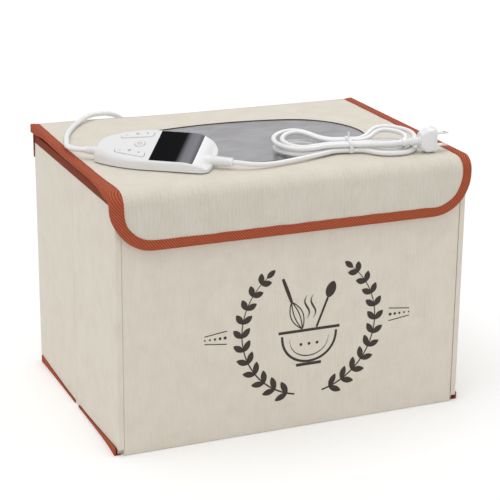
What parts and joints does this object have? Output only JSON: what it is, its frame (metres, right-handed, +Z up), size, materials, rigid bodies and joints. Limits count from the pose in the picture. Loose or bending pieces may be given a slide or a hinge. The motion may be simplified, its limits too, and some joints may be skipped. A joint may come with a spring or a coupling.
{
  "type": "folding dough proofer",
  "caption": "Soft-sided folding box with a padded base, a windowed lid with front flap, two heating pads, and a corded control handset lying on the lid with its mains lead tied in a hank.",
  "frame": {"origin": "bottom centre of the standing box, midway between its back wall and its front flap", "axes": "+X right along the front, +Y to the back, +Z up"},
  "size_m": [0.3876, 0.3035, 0.3005],
  "materials": {
    "cream_fabric": "matt ribbed non-woven cloth",
    "panel_board": "plain fluted board",
    "foil_lining": "silvery laminated foil",
    "foam": "closed-cell foam",
    "rust_binding": "twill tape",
    "window_film": "clear soft film",
    "tape": "hook and loop tape",
    "heating_pad": "quilted silvery pad",
    "heating_wire": "insulated heating wire",
    "sensor": "bare metal tip",
    "white_plastic": "satin moulded plastic",
    "display_lens": "glossy dark lens",
    "display": "segment display",
    "circuit_board": "solder-masked board",
    "silicone": "moulded silicone",
    "screw_steel": "plated steel",
    "white_cord": "smooth white sleeve",
    "tie": "coated wire tie",
    "blade_brass": "plated brass"
  },
  "bodies": {
    "base_spine": {"base_crease": "cream_fabric"},
    "rear_base": {"base_rear_cover": "cream_fabric", "base_rear_board": "panel_board", "base_rear_binding": "rust_binding", "heating_pad_rear": "heating_pad", "heating_wire_rear": "heating_wire"},
    "front_base": {"base_front_cover": "cream_fabric", "base_front_board": "panel_board", "base_front_binding": "rust_binding", "heating_pad_front": "heating_pad", "heating_wire_front": "heating_wire", "temperature_probe": "sensor"},
    "back_wall": {"back_cover": "cream_fabric", "back_board": "panel_board", "back_liner": "foil_lining", "lead_grommet": "white_cord", "lead_back": "white_cord"},
    "front_wall": {"front_cover": "cream_fabric", "front_board": "panel_board", "front_liner": "foil_lining", "front_loop_tape": "tape"},
    "left_rear_wall": {"left_rear_cover": "cream_fabric", "left_rear_board": "panel_board", "left_rear_liner": "foil_lining"},
    "left_front_wall": {"left_front_cover": "cream_fabric", "left_front_board": "panel_board", "left_front_liner": "foil_lining"},
    "right_rear_wall": {"right_rear_cover": "cream_fabric", "right_rear_board": "panel_board", "right_rear_liner": "foil_lining"},
    "right_front_wall": {"right_front_cover": "cream_fabric", "right_front_board": "panel_board", "right_front_liner": "foil_lining"},
    "lid": {"lid_cover": "cream_fabric", "lid_foam": "foam", "lid_liner": "foil_lining", "lid_binding": "rust_binding", "window_film": "window_film", "lead_top": "white_cord", "lead_relief": "white_cord", "mains_relief": "white_cord", "handset_lower_shell": "white_plastic", "handset_upper_shell": "white_plastic", "display_lens": "display_lens", "display_module": "display", "circuit_board": "circuit_board", "key_mat": "silicone", "handset_screws": "screw_steel", "mains_run": "white_cord", "mains_hank": "white_cord", "hank_tie": "tie", "plug_body": "white_cord", "plug_blades": "blade_brass"},
    "flap": {"flap_cover": "cream_fabric", "flap_foam": "foam", "flap_binding": "rust_binding", "flap_hook_tape": "tape"},
    "upper_key": {"upper_key": "white_plastic"},
    "lower_key": {"lower_key": "white_plastic"},
    "power_key": {"power_key": "white_plastic"}
  },
  "joints": [
    {"name": "fold", "type": "hinge", "parent": "base_spine", "child": "rear_base", "pos_m": [0, 0.0101, 0.0085], "axis": [1, 0, 0], "range_deg": [0, 88]},
    {"name": "front_fold", "type": "hinge", "parent": "base_spine", "child": "front_base", "pos_m": [0, -0.0019, 0.0085], "axis": [1, 0, 0], "range_deg": [-88, 0]},
    {"name": "back_wall_hinge", "type": "hinge", "parent": "rear_base", "child": "back_wall", "pos_m": [0, 0.1416, 0], "axis": [1, 0, 0], "range_deg": [-88, 0]},
    {"name": "front_wall_hinge", "type": "hinge", "parent": "front_base", "child": "front_wall", "pos_m": [0, -0.1334, 0], "axis": [1, 0, 0], "range_deg": [0, 88]},
    {"name": "left_rear_corner", "type": "hinge", "parent": "back_wall", "child": "left_rear_wall", "pos_m": [-0.183, 0.1356, 0.136], "axis": [0, 0, 1], "range_deg": [0, 88]},
    {"name": "left_crease", "type": "hinge", "parent": "left_rear_wall", "child": "left_front_wall", "pos_m": [-0.1915, 0.0041, 0.136], "axis": [0, 0, 1], "range_deg": [-176, 0]},
    {"name": "right_rear_corner", "type": "hinge", "parent": "back_wall", "child": "right_rear_wall", "pos_m": [0.183, 0.1356, 0.136], "axis": [0, 0, 1], "range_deg": [-88, 0]},
    {"name": "right_crease", "type": "hinge", "parent": "right_rear_wall", "child": "right_front_wall", "pos_m": [0.1915, 0.0041, 0.136], "axis": [0, 0, 1], "range_deg": [0, 176]},
    {"name": "lid_hinge", "type": "hinge", "parent": "back_wall", "child": "lid", "pos_m": [0, 0.1416, 0.264], "axis": [-1, 0, 0], "range_deg": [0, 105], "deforming": ["lead_back"]},
    {"name": "flap_hinge", "type": "hinge", "parent": "lid", "child": "flap", "pos_m": [0, -0.1416, 0.258], "axis": [-1, 0, 0], "range_deg": [0, 100]},
    {"name": "upper_key_rock", "type": "hinge", "parent": "lid", "child": "upper_key", "pos_m": [-0.12805, -0.02591, 0.29412], "axis": [0.5587, 0.7662, 0.3173], "range_deg": [-3, 3], "stiffness_Nm_per_rad": 0.05},
    {"name": "lower_key_rock", "type": "hinge", "parent": "lid", "child": "lower_key", "pos_m": [-0.14565, -0.05005, 0.28412], "axis": [0.5587, 0.7662, 0.3173], "range_deg": [-3, 3], "stiffness_Nm_per_rad": 0.05},
    {"name": "power_key_press", "type": "slide", "parent": "lid", "child": "power_key", "axis": [0.187, 0.2564, -0.9483], "range_m": [0, 0.0006], "stiffness_N_per_m": 1200}
  ],
  "couplings": [
    {"joint": "front_fold", "follows": "fold", "ratio": -1},
    {"joint": "back_wall_hinge", "follows": "fold", "ratio": -1},
    {"joint": "front_wall_hinge", "follows": "fold", "ratio": 1},
    {"joint": "left_rear_corner", "follows": "fold", "ratio": 1},
    {"joint": "left_crease", "follows": "fold", "ratio": -2},
    {"joint": "right_rear_corner", "follows": "fold", "ratio": -1},
    {"joint": "right_crease", "follows": "fold", "ratio": 2}
  ]
}
